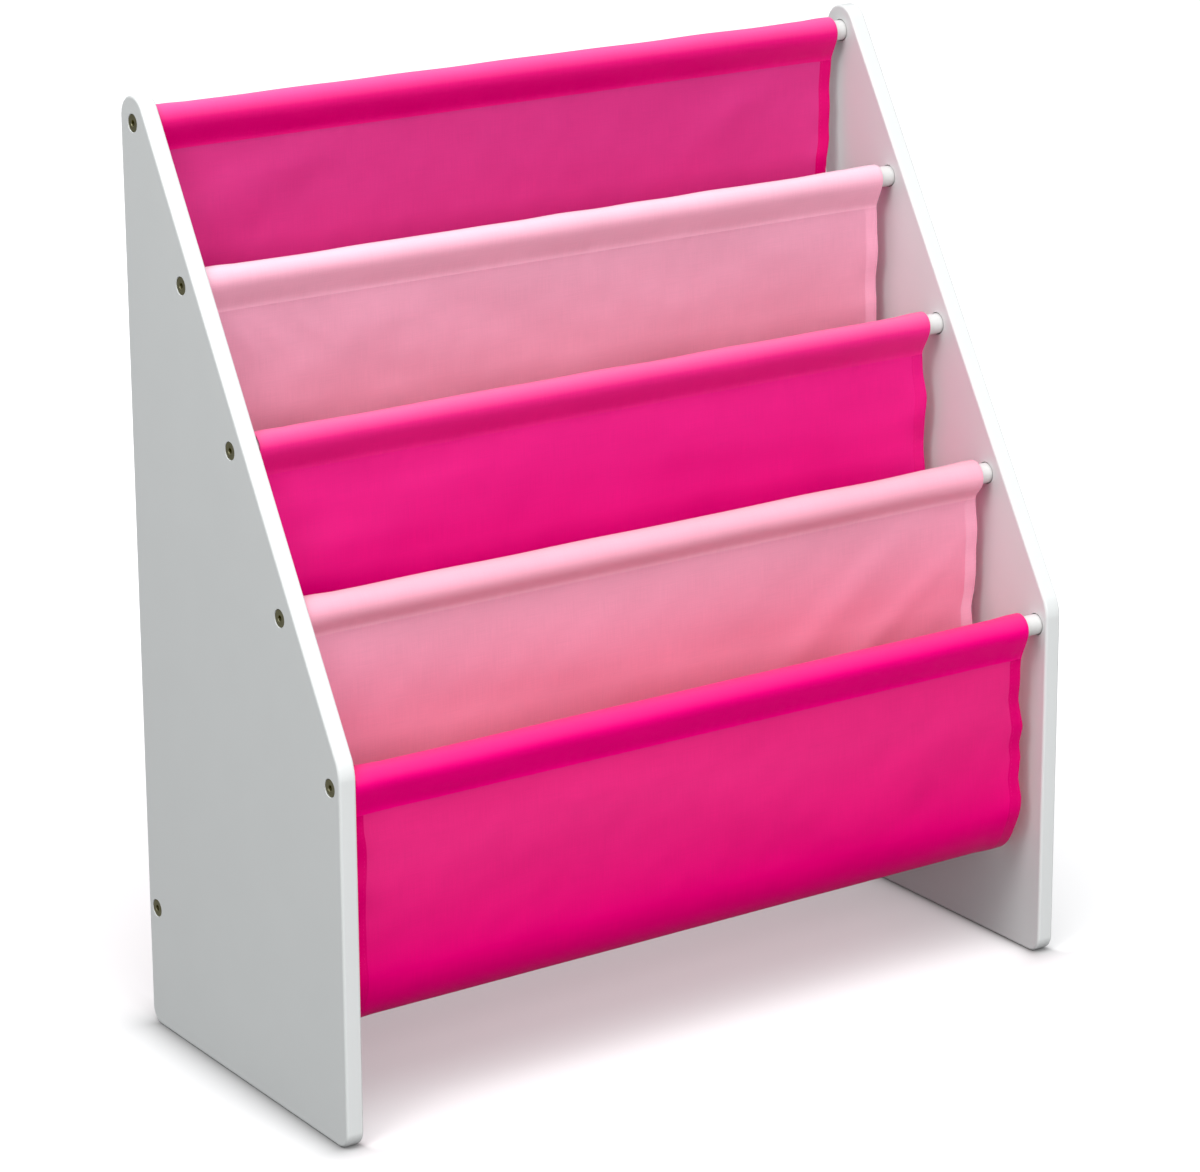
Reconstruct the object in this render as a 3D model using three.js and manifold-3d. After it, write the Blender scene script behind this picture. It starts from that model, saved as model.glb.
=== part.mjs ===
import * as THREE from 'three';
import { mergeVertices } from 'three/addons/utils/BufferGeometryUtils.js';
import Module from 'manifold-3d';

const wasm = await Module();
wasm.setup();

// Sling bookshelf, sizes in millimetres.
// X runs across the shelf, Y from front to back, Z up.
// The origin is on the floor, under the middle of the shelf.

// Side panels: painted board with eased edges. The front edge is upright up to a knee,
// and slopes from there to the round top.
const shelfWidth = 606;
const panelThickness = 13;
const panelDepth = 269;
const panelHeight = 671.5;
const frontEdgeHeight = 268;
const panelEdgeRadius = 2;
const topArcRadius = 16;
const footCornerRadius = 12;
const kneeRadius = 30;

// Dowels: five carry the slings, numbered from the top down, and one braces the back.
// The top one lies a drop below the panels' top, and the front one below the top of their front edge.
const slingDowelCount = 5;
const dowelRadius = 7.5;
const dowelChamfer = 0.8;
const topRim = 9.3;
const topDowelDrop = 18.8;
const frontRim = 5;
const frontDowelDrop = 14.7;
const braceRim = 4;
const braceHeight = 88.8;

// Blind sockets in the panels' inner faces, which the dowel ends enter
const socketDepth = 5;
const socketClearance = 0.4;
const seatGap = 0.3;

// Countersunk bolts with a hexagon socket
const boltHeadRadius = 6;
const boltHeadRim = 0.8;
const boltHeadRecess = 0.3;
const boltShankRadius = 3;
const boltTipChamfer = 0.6;
const boltHoleClearance = 0.4;
const boltTipOverrun = 1.5;
const hexKeyWidth = 4;
const hexKeyDepth = 2.4;

// Threaded insert nuts in the dowel ends
const insertRadius = 4.5;
const insertLength = 13;
const insertSink = 0.5;
const insertChamfer = 0.5;
const insertBoreSpare = 4;

// Sling bands: cloth sewn into a tunnel over a dowel, hanging as the walls of the pockets
const clothThickness = 1.6;
const bandSideGap = 6;
const tunnelDrop = 31;
const stitchHeight = 4;
const layerGap = 1;
const pocketDrop = 177;
const pocketSag = 40;
const seamLap = 12;

// Overrun of every cutter, so that no cut ends on a face
const cutOverrun = 2;

// Sizes that follow
const innerWidth = shelfWidth - 2 * panelThickness;
const topArc = { y: panelDepth / 2 - topArcRadius, z: panelHeight - topArcRadius };
const topDowel = { y: panelDepth / 2 - topRim - dowelRadius, z: panelHeight - topDowelDrop };
const frontDowel = { y: -panelDepth / 2 + frontRim + dowelRadius, z: frontEdgeHeight - frontDowelDrop };
const braceDowel = { y: panelDepth / 2 - braceRim - dowelRadius, z: braceHeight };
const pitchY = (topDowel.y - frontDowel.y) / (slingDowelCount - 1);
const pitchZ = (topDowel.z - frontDowel.z) / (slingDowelCount - 1);
const slopeRun = topArc.y + panelDepth / 2;
const slopeRise = topArc.z - frontEdgeHeight;
const slopeAngle = Math.atan2(slopeRun, slopeRise) - Math.asin(topArcRadius / Math.hypot(slopeRun, slopeRise));
const socketFloor = panelThickness - socketDepth;
const dowelEndDepth = socketFloor + seatGap;
const dowelLength = shelfWidth - 2 * dowelEndDepth;
const insertStart = dowelEndDepth + insertSink;
const insertBoreRadius = boltShankRadius + seatGap;
const dowelBoreRadius = insertRadius + seatGap;
const dowelBoreDepth = insertSink + insertLength + insertBoreSpare;
const boltTipDepth = insertStart + insertLength + boltTipOverrun;
const bandWidth = innerWidth - 2 * bandSideGap;
const tunnelRadius = dowelRadius + seatGap + clothThickness;
const seamBelowDowel = tunnelDrop - tunnelRadius;

// Numbers of facets
const outlineArcFacets = 8;
const easedEdgeFacets = 3;
const dowelFacets = 24;
const boltFacets = 16;
const insertFacets = 12;
const tunnelArcFacets = 9;
const sagFacets = 12;

const slingDowels = Array.from({ length: slingDowelCount }, (_, i) => ({
  y: topDowel.y - i * pitchY,
  z: topDowel.z - i * pitchZ,
}));
const allDowels = [...slingDowels, braceDowel];

// Finishes
const paintedBoard = () => new THREE.MeshStandardMaterial({ color: 0xf2f4f3, roughness: 0.45 });
const paintedDowel = () => new THREE.MeshStandardMaterial({ color: 0xf5f5f3, roughness: 0.4 });
const platedSteel = () => new THREE.MeshStandardMaterial({ color: 0x6b6f52, roughness: 0.35, metalness: 1 });
const zincAlloy = () => new THREE.MeshStandardMaterial({ color: 0xb9b7ae, roughness: 0.4, metalness: 1 });
const darkPinkCloth = () => new THREE.MeshStandardMaterial({ color: 0xe6007e, roughness: 0.9 });
const lightPinkCloth = () => new THREE.MeshStandardMaterial({ color: 0xf29bb8, roughness: 0.9 });

// A closed solid for cutting and joining, from a geometry
function solidFrom(geometry) {
  const bare = geometry.clone();
  bare.deleteAttribute('normal');
  bare.deleteAttribute('uv');
  const merged = mergeVertices(bare);
  const corners = merged.index.array;
  const triangles = [];
  for (let i = 0; i < corners.length; i += 3) {
    const [a, b, c] = corners.slice(i, i + 3);
    if (a !== b && b !== c && c !== a) triangles.push(a, b, c);
  }
  const vertProperties = new Float32Array(merged.attributes.position.array);
  return new wasm.Manifold(new wasm.Mesh({ numProp: 3, vertProperties, triVerts: new Uint32Array(triangles) }));
}

function geometryFrom(solid) {
  const { vertProperties, triVerts } = solid.getMesh();
  const geometry = new THREE.BufferGeometry();
  geometry.setAttribute('position', new THREE.BufferAttribute(vertProperties, 3));
  geometry.setIndex(new THREE.BufferAttribute(triVerts, 1));
  return geometry;
}

function piece(name, geometry, material) {
  const mesh = new THREE.Mesh(geometry, material);
  mesh.name = name;
  return mesh;
}

// Outlines are drawn in the Y-Z plane and extruded along X, centred on X = 0
function extrudeAcross(shape, options) {
  const geometry = new THREE.ExtrudeGeometry(shape, { bevelEnabled: false, ...options });
  geometry.computeBoundingBox();
  const { min, max } = geometry.boundingBox;
  geometry.translate(0, 0, -(min.z + max.z) / 2);
  const axes = [new THREE.Vector3(0, 1, 0), new THREE.Vector3(0, 0, 1), new THREE.Vector3(1, 0, 0)];
  return geometry.applyMatrix4(new THREE.Matrix4().makeBasis(...axes));
}

// Turned pieces: each pair is a radius and a place along the axis
function turned(profile, facets) {
  return new THREE.LatheGeometry(profile.map(([radius, place]) => new THREE.Vector2(radius, place)), facets);
}

// Side panels, with side -1 on the left and 1 on the right
function panelOutline() {
  const front = -panelDepth / 2;
  const back = panelDepth / 2;
  const slopeNormal = Math.PI - slopeAngle;
  const kneeTangent = kneeRadius * Math.tan(slopeAngle / 2);
  const outline = new THREE.Shape();
  outline.absarc(front + footCornerRadius, footCornerRadius, footCornerRadius, Math.PI, 1.5 * Math.PI);
  outline.absarc(back - footCornerRadius, footCornerRadius, footCornerRadius, 1.5 * Math.PI, 2 * Math.PI);
  outline.absarc(topArc.y, topArc.z, topArcRadius, 0, slopeNormal);
  outline.absarc(front + kneeRadius, frontEdgeHeight - kneeTangent, kneeRadius, slopeNormal, Math.PI);
  outline.closePath();
  return outline;
}

// The cut for one fastener: countersink, bolt hole and dowel socket, from the outer face inwards
function fastenerCut() {
  const headHoleRadius = boltHeadRadius + seatGap;
  const boltHoleRadius = boltShankRadius + boltHoleClearance;
  const socketRadius = dowelRadius + socketClearance;
  const coneStart = boltHeadRecess + boltHeadRim + seatGap;
  const coneEnd = coneStart + headHoleRadius - boltHoleRadius;
  return turned([
    [0, -cutOverrun],
    [headHoleRadius, -cutOverrun],
    [headHoleRadius, coneStart],
    [boltHoleRadius, coneEnd],
    [boltHoleRadius, socketFloor],
    [socketRadius, socketFloor],
    [socketRadius, panelThickness + cutOverrun],
    [0, panelThickness + cutOverrun],
  ], dowelFacets);
}

function sidePanel(name, side) {
  const board = extrudeAcross(panelOutline(), {
    depth: panelThickness - 2 * panelEdgeRadius,
    curveSegments: outlineArcFacets,
    bevelEnabled: true,
    bevelThickness: panelEdgeRadius,
    bevelSize: panelEdgeRadius,
    bevelOffset: -panelEdgeRadius,
    bevelSegments: easedEdgeFacets,
  });
  let solid = solidFrom(board);
  for (const { y, z } of allDowels) {
    const cut = fastenerCut().rotateZ(side * Math.PI / 2).translate(side * panelThickness / 2, y, z);
    solid = solid.subtract(solidFrom(cut));
  }
  const panel = piece(name, geometryFrom(solid), paintedBoard());
  panel.position.x = side * (shelfWidth - panelThickness) / 2;
  return panel;
}

// Dowels, bored at both ends for the insert nuts
function dowel(name, { y, z }) {
  const end = dowelLength / 2;
  const boreFloor = end - dowelBoreDepth;
  const half = [
    [0, boreFloor],
    [dowelBoreRadius, boreFloor],
    [dowelBoreRadius, end],
    [dowelRadius - dowelChamfer, end],
    [dowelRadius, end - dowelChamfer],
  ];
  const otherHalf = half.map(([radius, place]) => [radius, -place]);
  const bar = piece(name, turned([...otherHalf, ...half.toReversed()], dowelFacets), paintedDowel());
  bar.rotation.z = -Math.PI / 2;
  bar.position.set(0, y, z);
  return bar;
}

// Fasteners are turned about an axis that starts at the panel's outer face and points inwards
function boltGeometry() {
  const coneStart = boltHeadRecess + boltHeadRim;
  const blank = turned([
    [0, boltHeadRecess],
    [boltHeadRadius, boltHeadRecess],
    [boltHeadRadius, coneStart],
    [boltShankRadius, coneStart + boltHeadRadius - boltShankRadius],
    [boltShankRadius, boltTipDepth - boltTipChamfer],
    [boltShankRadius - boltTipChamfer, boltTipDepth],
    [0, boltTipDepth],
  ], boltFacets);
  const keyRadius = hexKeyWidth / 2 / Math.cos(Math.PI / 6);
  const keyLength = hexKeyDepth + cutOverrun;
  const key = new THREE.CylinderGeometry(keyRadius, keyRadius, keyLength, 6);
  key.translate(0, boltHeadRecess + hexKeyDepth - keyLength / 2, 0);
  return geometryFrom(solidFrom(blank).subtract(solidFrom(key)));
}

function insertGeometry() {
  const insertEnd = insertStart + insertLength;
  return turned([
    [insertBoreRadius, insertStart],
    [insertRadius - insertChamfer, insertStart],
    [insertRadius, insertStart + insertChamfer],
    [insertRadius, insertEnd - insertChamfer],
    [insertRadius - insertChamfer, insertEnd],
    [insertBoreRadius, insertEnd],
    [insertBoreRadius, insertStart],
  ], insertFacets);
}

function placeFastener(mesh, side, { y, z }) {
  mesh.rotation.z = side * Math.PI / 2;
  mesh.position.set(side * shelfWidth / 2, y, z);
  return mesh;
}

// Outline of a strip of cloth whose middle follows a line of points
function strip(points) {
  const sides = points.map((point, i) => {
    const before = points[Math.max(i - 1, 0)];
    const after = points[Math.min(i + 1, points.length - 1)];
    const along = after.clone().sub(before).normalize();
    const across = new THREE.Vector2(-along.y, along.x).multiplyScalar(clothThickness / 2);
    return [point.clone().add(across), point.clone().sub(across)];
  });
  return new THREE.Shape([...sides.map(([left]) => left), ...sides.map(([, right]) => right).toReversed()]);
}

// A tunnel's outline: round over the dowel, closing to the stitch line below it
function tunnelPath(path, { y, z }, radius, drop) {
  const tangentAngle = Math.asin(radius / drop);
  path.absarc(y, z, radius, -tangentAngle, Math.PI + tangentAngle);
  path.lineTo(y, z - drop);
  path.closePath();
  return path;
}

// Band i is the back of the pocket in front of it and the front of the pocket behind it.
// A band with both layers hangs them side by side, each this far from its dowel's centre.
const backsPocket = (i) => i < slingDowelCount - 1;
const frontsPocket = (i) => i > 0;
const layerOffset = (i) => (backsPocket(i) && frontsPocket(i) ? (clothThickness + layerGap) / 2 : 0);

// The rear layer of band i: the front of a pocket, its sag and the end sewn to the band above
function pocketFront(i) {
  const start = slingDowels[i].y + layerOffset(i);
  const end = slingDowels[i - 1].y - layerOffset(i - 1) + clothThickness + seatGap;
  const sagTop = slingDowels[i].z - pocketDrop + pocketSag;
  const centre = (start + end) / 2;
  const points = [new THREE.Vector2(start, slingDowels[i].z - seamBelowDowel)];
  for (let k = 0; k <= sagFacets; k += 1) {
    const turn = Math.PI * (1 + k / sagFacets);
    const y = centre + Math.cos(turn) * (end - start) / 2;
    points.push(new THREE.Vector2(y, sagTop + Math.sin(turn) * pocketSag));
  }
  points.push(new THREE.Vector2(end, sagTop + seamLap));
  return points;
}

// The front layer of band i: the back of a pocket, down to where it is sewn
function pocketBack(i) {
  const y = slingDowels[i].y - layerOffset(i);
  const foot = slingDowels[i + 1].z - pocketDrop + pocketSag;
  return [new THREE.Vector2(y, slingDowels[i].z - seamBelowDowel), new THREE.Vector2(y, foot)];
}

function slingBand(name, i, material) {
  const { y, z } = slingDowels[i];
  const innerRadius = tunnelRadius - clothThickness;
  const tunnel = tunnelPath(new THREE.Shape(), slingDowels[i], tunnelRadius, seamBelowDowel);
  const innerDrop = seamBelowDowel * innerRadius / tunnelRadius;
  tunnel.holes.push(tunnelPath(new THREE.Path(), slingDowels[i], innerRadius, innerDrop));
  const stitchHalf = layerOffset(i) + clothThickness / 2;
  const stitchTop = z - seamBelowDowel + stitchHeight / 2;
  const stitch = new THREE.Shape([
    new THREE.Vector2(y - stitchHalf, stitchTop - stitchHeight),
    new THREE.Vector2(y + stitchHalf, stitchTop - stitchHeight),
    new THREE.Vector2(y + stitchHalf, stitchTop),
    new THREE.Vector2(y - stitchHalf, stitchTop),
  ]);
  const outlines = [tunnel, stitch];
  if (backsPocket(i)) outlines.push(strip(pocketBack(i)));
  if (frontsPocket(i)) outlines.push(strip(pocketFront(i)));
  const cloth = { depth: bandWidth, curveSegments: tunnelArcFacets };
  const layers = outlines.map((outline) => solidFrom(extrudeAcross(outline, cloth)));
  const joined = layers.reduce((whole, layer) => whole.add(layer));
  return piece(name, geometryFrom(joined), material);
}

const bookshelf = new THREE.Group();

bookshelf.add(sidePanel('left_side_panel', -1), sidePanel('right_side_panel', 1));

slingDowels.forEach((place, i) => bookshelf.add(dowel(`sling_dowel_${i + 1}`, place)));
bookshelf.add(dowel('rear_brace_dowel', braceDowel));

const bolt = boltGeometry();
const insert = insertGeometry();
for (const [sideName, side] of [['left', -1], ['right', 1]]) {
  allDowels.forEach((place, i) => {
    const which = place === braceDowel ? 'brace' : i + 1;
    bookshelf.add(placeFastener(piece(`${sideName}_bolt_${which}`, bolt, platedSteel()), side, place));
    bookshelf.add(placeFastener(piece(`${sideName}_insert_${which}`, insert, zincAlloy()), side, place));
  });
}

slingDowels.forEach((_, i) => {
  const cloth = i % 2 === 0 ? darkPinkCloth() : lightPinkCloth();
  bookshelf.add(slingBand(`sling_band_${i + 1}`, i, cloth));
});

export default bookshelf;
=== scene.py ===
import math

import bmesh
import bpy
import numpy as np
from mathutils import Matrix, Vector


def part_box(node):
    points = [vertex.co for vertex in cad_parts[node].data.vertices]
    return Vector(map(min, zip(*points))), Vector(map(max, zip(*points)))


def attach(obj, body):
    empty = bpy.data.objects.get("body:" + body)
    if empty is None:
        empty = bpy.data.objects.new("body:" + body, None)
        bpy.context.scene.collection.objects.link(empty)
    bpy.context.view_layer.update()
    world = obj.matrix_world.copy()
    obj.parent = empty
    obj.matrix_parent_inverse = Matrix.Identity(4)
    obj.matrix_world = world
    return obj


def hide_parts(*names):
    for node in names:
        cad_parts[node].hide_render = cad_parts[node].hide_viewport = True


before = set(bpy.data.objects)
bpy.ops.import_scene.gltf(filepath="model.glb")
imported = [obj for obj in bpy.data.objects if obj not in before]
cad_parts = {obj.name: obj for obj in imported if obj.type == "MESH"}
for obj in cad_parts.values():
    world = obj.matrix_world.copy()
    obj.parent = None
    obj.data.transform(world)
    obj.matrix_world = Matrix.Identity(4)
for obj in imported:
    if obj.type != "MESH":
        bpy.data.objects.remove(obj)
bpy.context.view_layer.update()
mm = 0.001

# The studio. The shelf stands on a wide, pale light table and is seen from its left front, from a little
# above its top, with a long lens. Broad soft boxes light it from above, in front and the left, a weak one
# from behind, and the room's pale walls fill in the rest.
view_azimuth = math.radians(-34.105)
view_height = math.radians(16.159)
view_roll = math.radians(-0.304)
view_distance = 2992.0 * mm
view_target = Vector((-7.1, 0, 390.15)) * mm
lens_millimetres = 128.22
photo_width, photo_height = 1200, 1172
optical_axis_row = 470

away = Vector((
    math.sin(view_azimuth) * math.cos(view_height),
    -math.cos(view_azimuth) * math.cos(view_height),
    math.sin(view_height),
))
level_right = Vector((0, 0, 1)).cross(away).normalized()
level_up = away.cross(level_right)
right = math.cos(view_roll) * level_right + math.sin(view_roll) * level_up
up = math.cos(view_roll) * level_up - math.sin(view_roll) * level_right

camera = bpy.data.objects.new("camera", bpy.data.cameras.new("camera"))
bpy.context.scene.collection.objects.link(camera)
camera_place = Matrix.Translation(view_target + view_distance * away)
camera_turn = Matrix((right, up, away)).transposed().to_4x4()
camera.matrix_world = camera_place @ camera_turn
camera.data.lens = lens_millimetres
camera.data.sensor_width = 36
camera.data.sensor_fit = "HORIZONTAL"
camera.data.shift_y = (optical_axis_row - photo_height / 2) / photo_width
camera.data.clip_end = 60
bpy.context.scene.camera = camera
look = bpy.context.scene.view_settings
look.view_transform = "Standard"
look.use_curve_mapping = True
look.curve_mapping.black_level = (0.010, 0.010, 0.010)
look.curve_mapping.update()


def add_light(name, kind, energy, place=(0, 0, 0)):
    light = bpy.data.objects.new(name, bpy.data.lights.new(name, kind))
    bpy.context.scene.collection.objects.link(light)
    light.data.energy = energy
    light.location = place
    return light


def aim(light, direction):
    light.rotation_euler = direction.to_track_quat("-Z", "Y").to_euler()


# the main soft box is a sun lamp with a wide disc, so that it lights the whole floor evenly
soft_box = add_light("overhead_soft_box", "SUN", 1.27)
soft_box.data.angle = math.radians(50)
soft_box_from = Vector((-0.18, -0.34, 0.92))
aim(soft_box, -soft_box_from)

# the others, sized and placed in metres: one in front, whose light falls off towards the floor, a smaller one
# high up on the left for the outer side of the left panel, and a weak one behind, so that the back isn't dark
for name, energy, size, place, target in (
    ("front_soft_box", 22, 1.3, (0.1, -2.3, 1.1), (0, 0, 0.35)),
    ("side_soft_box", 16, 0.8, (-1.6, -0.6, 1.9), (-0.3, 0, 0.5)),
    ("back_soft_box", 10, 1.5, (0.4, 2.3, 1.3), (0, 0, 0.35)),
):
    box = add_light(name, "AREA", energy, place)
    box.data.size = size
    aim(box, Vector(target) - box.location)

# the lit cloth throws a little pink light on the floor below it
cloth_glow = add_light("cloth_glow", "AREA", 0.035, (0, -0.04, 0.085))
cloth_glow.data.color = (1.0, 0.18, 0.38)
cloth_glow.data.shape = "RECTANGLE"
cloth_glow.data.size = 0.5
cloth_glow.data.size_y = 0.16
cloth_glow.visible_camera = False
cloth_glow.visible_glossy = False

# the room: pale walls that grow brighter towards the ceiling and, a little, towards the front and the left
wall_light, ceiling_light, front_light, left_light = 0.10, 0.90, 0.16, 0.12
room = bpy.data.worlds.new("room")
room.use_nodes = True
nodes, links = room.node_tree.nodes, room.node_tree.links
brighter = nodes.new("ShaderNodeVectorMath")
brighter.operation = "DOT_PRODUCT"
brighter.inputs[1].default_value = (-left_light, -front_light, ceiling_light)
links.new(nodes.new("ShaderNodeTexCoord").outputs["Generated"], brighter.inputs[0])
brightness = nodes.new("ShaderNodeMath")
brightness.operation = "ADD"
brightness.inputs[0].default_value = wall_light
links.new(brighter.outputs["Value"], brightness.inputs[1])
links.new(brightness.outputs[0], nodes["Background"].inputs["Strength"])
nodes["Background"].inputs["Color"].default_value = (0.98, 0.99, 1.0, 1)
bpy.context.scene.world = room


class Finish:
    """A material that is built up node by node on a Principled shader."""

    def __init__(self, name):
        self.material = bpy.data.materials.new(name)
        self.material.use_nodes = True
        self.nodes = self.material.node_tree.nodes
        self.shader = self.nodes["Principled BSDF"]
        self.output = self.nodes["Material Output"]

    def plug(self, node, **inputs):
        """Gives a node's inputs, by name or as _0, _1 by place, a value or another node's output."""
        for key, value in inputs.items():
            socket = node.inputs[int(key[1:])] if key[1:].isdigit() else node.inputs[key.replace("_", " ")]
            if isinstance(value, bpy.types.NodeSocket):
                self.material.node_tree.links.new(value, socket)
            else:
                socket.default_value = value
        return node

    def add(self, kind, settings=None, **inputs):
        node = self.nodes.new(kind)
        for key, value in (settings or {}).items():
            setattr(node, key, value)
        return self.plug(node, **inputs)

    def coat(self, **inputs):
        """Gives the Principled shader its colour, roughness, relief and so on."""
        self.plug(self.shader, **inputs)

    def maths(self, operation, *values):
        inputs = {f"_{i}": value for i, value in enumerate(values)}
        return self.add("ShaderNodeMath", {"operation": operation}, **inputs).outputs[0]

    def place(self, stretch=(1, 1, 1)):
        coordinates = self.add("ShaderNodeTexCoord").outputs["Object"]
        return self.add("ShaderNodeMapping", Vector=coordinates, Scale=stretch).outputs[0]

    def noise(self, where, scale, detail=2.0, roughness=0.5):
        """Soft lumps between 0 and 1, as many to a metre as the scale says."""
        node = self.add("ShaderNodeTexNoise", Vector=where, Scale=scale, Detail=detail, Roughness=roughness)
        return node.outputs[0]

    def spread(self, value, low, high, low_in=0.0, high_in=1.0):
        """A value that runs from low to high while the given one runs from low_in to high_in."""
        node = self.add("ShaderNodeMapRange", Value=value, From_Min=low_in, From_Max=high_in, To_Min=low,
                        To_Max=high)
        return node.outputs[0]

    def blend(self, share, low, high):
        """The low colour at a share of 0 and the high one at 1, each three numbers or a node's output."""
        low, high = (end if isinstance(end, bpy.types.NodeSocket) else (*end, 1) for end in (low, high))
        return self.add("ShaderNodeMix", {"data_type": "RGBA"}, _0=share, _6=low, _7=high).outputs[2]

    def bump(self, height, strength, distance, **under):
        node = self.add("ShaderNodeBump", Height=height, Strength=strength, Distance=distance, **under)
        return node.outputs[0]

floor_radius = 14
bpy.ops.object.select_all(action="DESELECT")
bpy.ops.mesh.primitive_circle_add(vertices=96, radius=floor_radius, fill_type="NGON", location=(0, 0, 0))
floor = bpy.context.object
floor.name = "floor"

# a light table: the camera sees its pale top, whose glow is held back where the shelf stands, as a painted
# shade under and round the shelf, and the shelf gets only the weak light that the top throws back
glow_in_painted_shade, glow_around = 0.14, 0.35
glow_grows_from, glow_grows_to = 0.35, 1.1
light_table = Finish("light_table")
place = light_table.add("ShaderNodeTexCoord").outputs["Object"]
distance = light_table.add("ShaderNodeVectorMath", {"operation": "LENGTH"}, Vector=place).outputs["Value"]
glow = light_table.spread(distance, glow_in_painted_shade, glow_around, glow_grows_from, glow_grows_to)

# close round its feet the shelf has a painted shadow on the table. The shade fades with the distance from
# a foot, and on the foot's left and right it fades some times faster, which sets in along a short way at
# the front corner
foot_centre = 296.5 * mm
foot_half_width, foot_half_depth = 6.5 * mm, 125 * mm
before_corner, behind_corner = 20 * mm, 8 * mm
painted_shadow_reach = 16 * mm
painted_shadow_depth = 0.64
maths = light_table.maths
split = light_table.add("ShaderNodeSeparateXYZ", Vector=place)
across, back = split.outputs[0], split.outputs[1]
past_end = maths("MAXIMUM", maths("SUBTRACT", maths("ABSOLUTE", back), foot_half_depth), 0)
along_foot = light_table.spread(back, 0, 1, -foot_half_depth - before_corner, behind_corner - foot_half_depth)
outside_painted_shadow = 1
for foot_x, faster_left, faster_right in ((-foot_centre, 1, 12), (foot_centre, 3, 12)):
    off_foot = maths("SUBTRACT", across, foot_x)
    on_left = maths("MINIMUM", maths("ADD", off_foot, foot_half_width), 0)
    on_right = maths("MAXIMUM", maths("SUBTRACT", off_foot, foot_half_width), 0)
    times_left = maths("MULTIPLY_ADD", along_foot, faster_left - 1, 1)
    times_right = maths("MULTIPLY_ADD", along_foot, faster_right - 1, 1)
    beside_foot = maths("SUBTRACT", maths("MULTIPLY", on_right, times_right),
                        maths("MULTIPLY", on_left, times_left))
    from_foot = maths("SQRT", maths("ADD", maths("POWER", beside_foot, 2), maths("POWER", past_end, 2)))
    fading = maths("EXPONENT", maths("DIVIDE", from_foot, -painted_shadow_reach))
    outside_painted_shadow = maths("MULTIPLY", outside_painted_shadow, maths("MULTIPLY_ADD", fading, -painted_shadow_depth, 1))
# the painted shadow darkens both the table's colour and its glow
light_table.coat(
    Base_Color=light_table.blend(outside_painted_shadow, (0, 0, 0), (0.78, 0.775, 0.78)),
    Emission_Color=(1, 1, 1, 1),
    Emission_Strength=maths("MULTIPLY", glow, outside_painted_shadow),
    Roughness=0.9,
    Specular_IOR_Level=0,
)
thrown_back = light_table.add("ShaderNodeBsdfDiffuse", Color=(0.205, 0.205, 0.205, 1)).outputs[0]
seen = light_table.add("ShaderNodeLightPath").outputs["Is Camera Ray"]
table_top = light_table.add("ShaderNodeMixShader", _0=seen, _1=thrown_back, _2=light_table.shader.outputs[0])
light_table.plug(light_table.output, Surface=table_top.outputs[0])
floor.data.materials.append(light_table.material)


# Side panels. Two upright boards of half-inch fibreboard with a sloping front edge and a round top over the
# highest dowel. They are cut out, eased, drilled through for the bolts and part-way for the dowels, and
# sprayed white.
left_low, left_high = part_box("left_side_panel")
panel_thickness = left_high.x - left_low.x
panel_front, panel_back = left_low.y, left_high.y
front_edge_height = 268 * mm
panel_edge_radius = 2 * mm
top_arc_radius = 16 * mm
foot_corner_radius = 12 * mm
knee_radius = 30 * mm
corner_steps, edge_steps = 10, 5
dowel_nodes = [f"sling_dowel_{k}" for k in range(1, 6)] + ["rear_brace_dowel"]
dowel_axes = [(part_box(node)[0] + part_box(node)[1]) / 2 for node in dowel_nodes]
top_axis = dowel_axes[0]
top_arc = Vector((0, panel_back - top_arc_radius, left_high.z - top_arc_radius))
slope_run = top_arc.y - panel_front
slope_rise = top_arc.z - front_edge_height
slope_length = math.hypot(slope_run, slope_rise)
slope_angle = math.atan2(slope_run, slope_rise) - math.asin(top_arc_radius / slope_length)

# places less than a hair apart count as the same
hair = 0.01 * mm


def start_edit():
    bpy.ops.object.mode_set(mode="EDIT")


def end_edit():
    bpy.ops.object.mode_set(mode="OBJECT")


def pick(kind, test):
    """Selects only the vertices, edges or faces of the piece in edit mode that pass the test."""
    bpy.ops.mesh.select_mode(type={"verts": "VERT", "edges": "EDGE", "faces": "FACE"}[kind])
    bpy.ops.mesh.select_all(action="DESELECT")
    shape = bmesh.from_edit_mesh(bpy.context.object.data)
    for element in getattr(shape, kind):
        if test(element):
            element.select_set(True)
    bmesh.update_edit_mesh(bpy.context.object.data)


def choose(*objects):
    bpy.ops.object.select_all(action="DESELECT")
    for thing in objects:
        thing.select_set(True)
    bpy.context.view_layer.objects.active = objects[0]


def face_outwards():
    bpy.ops.mesh.select_all(action="SELECT")
    bpy.ops.mesh.normals_make_consistent(inside=False)


def turn_on_lathe(name, axis, profile, sides):
    """A turned piece along X: a disc at the first place and radius, drawn out from one radius to the next."""
    place, radius = profile[0]
    bpy.ops.object.select_all(action="DESELECT")
    bpy.ops.mesh.primitive_circle_add(vertices=sides, radius=radius, fill_type="NGON",
                                      location=(place, axis.y, axis.z), rotation=(0, math.pi / 2, 0))
    piece = bpy.context.object
    piece.name = name
    bpy.ops.object.transform_apply(location=True, rotation=True, scale=True)
    start_edit()
    bpy.ops.mesh.select_mode(type="FACE")
    bpy.ops.mesh.select_all(action="SELECT")
    for next_place, next_radius in profile[1:]:
        bpy.ops.mesh.extrude_region_move(TRANSFORM_OT_translate={"value": (next_place - place, 0, 0)})
        ratio = next_radius / radius
        bpy.ops.transform.resize(value=(1, ratio, ratio), center_override=(next_place, axis.y, axis.z))
        place, radius = next_place, next_radius
    face_outwards()
    end_edit()
    return piece


def copy_of(piece, name):
    twin = piece.copy()
    twin.data = piece.data.copy()
    twin.name = name
    bpy.context.scene.collection.objects.link(twin)
    return twin


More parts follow.
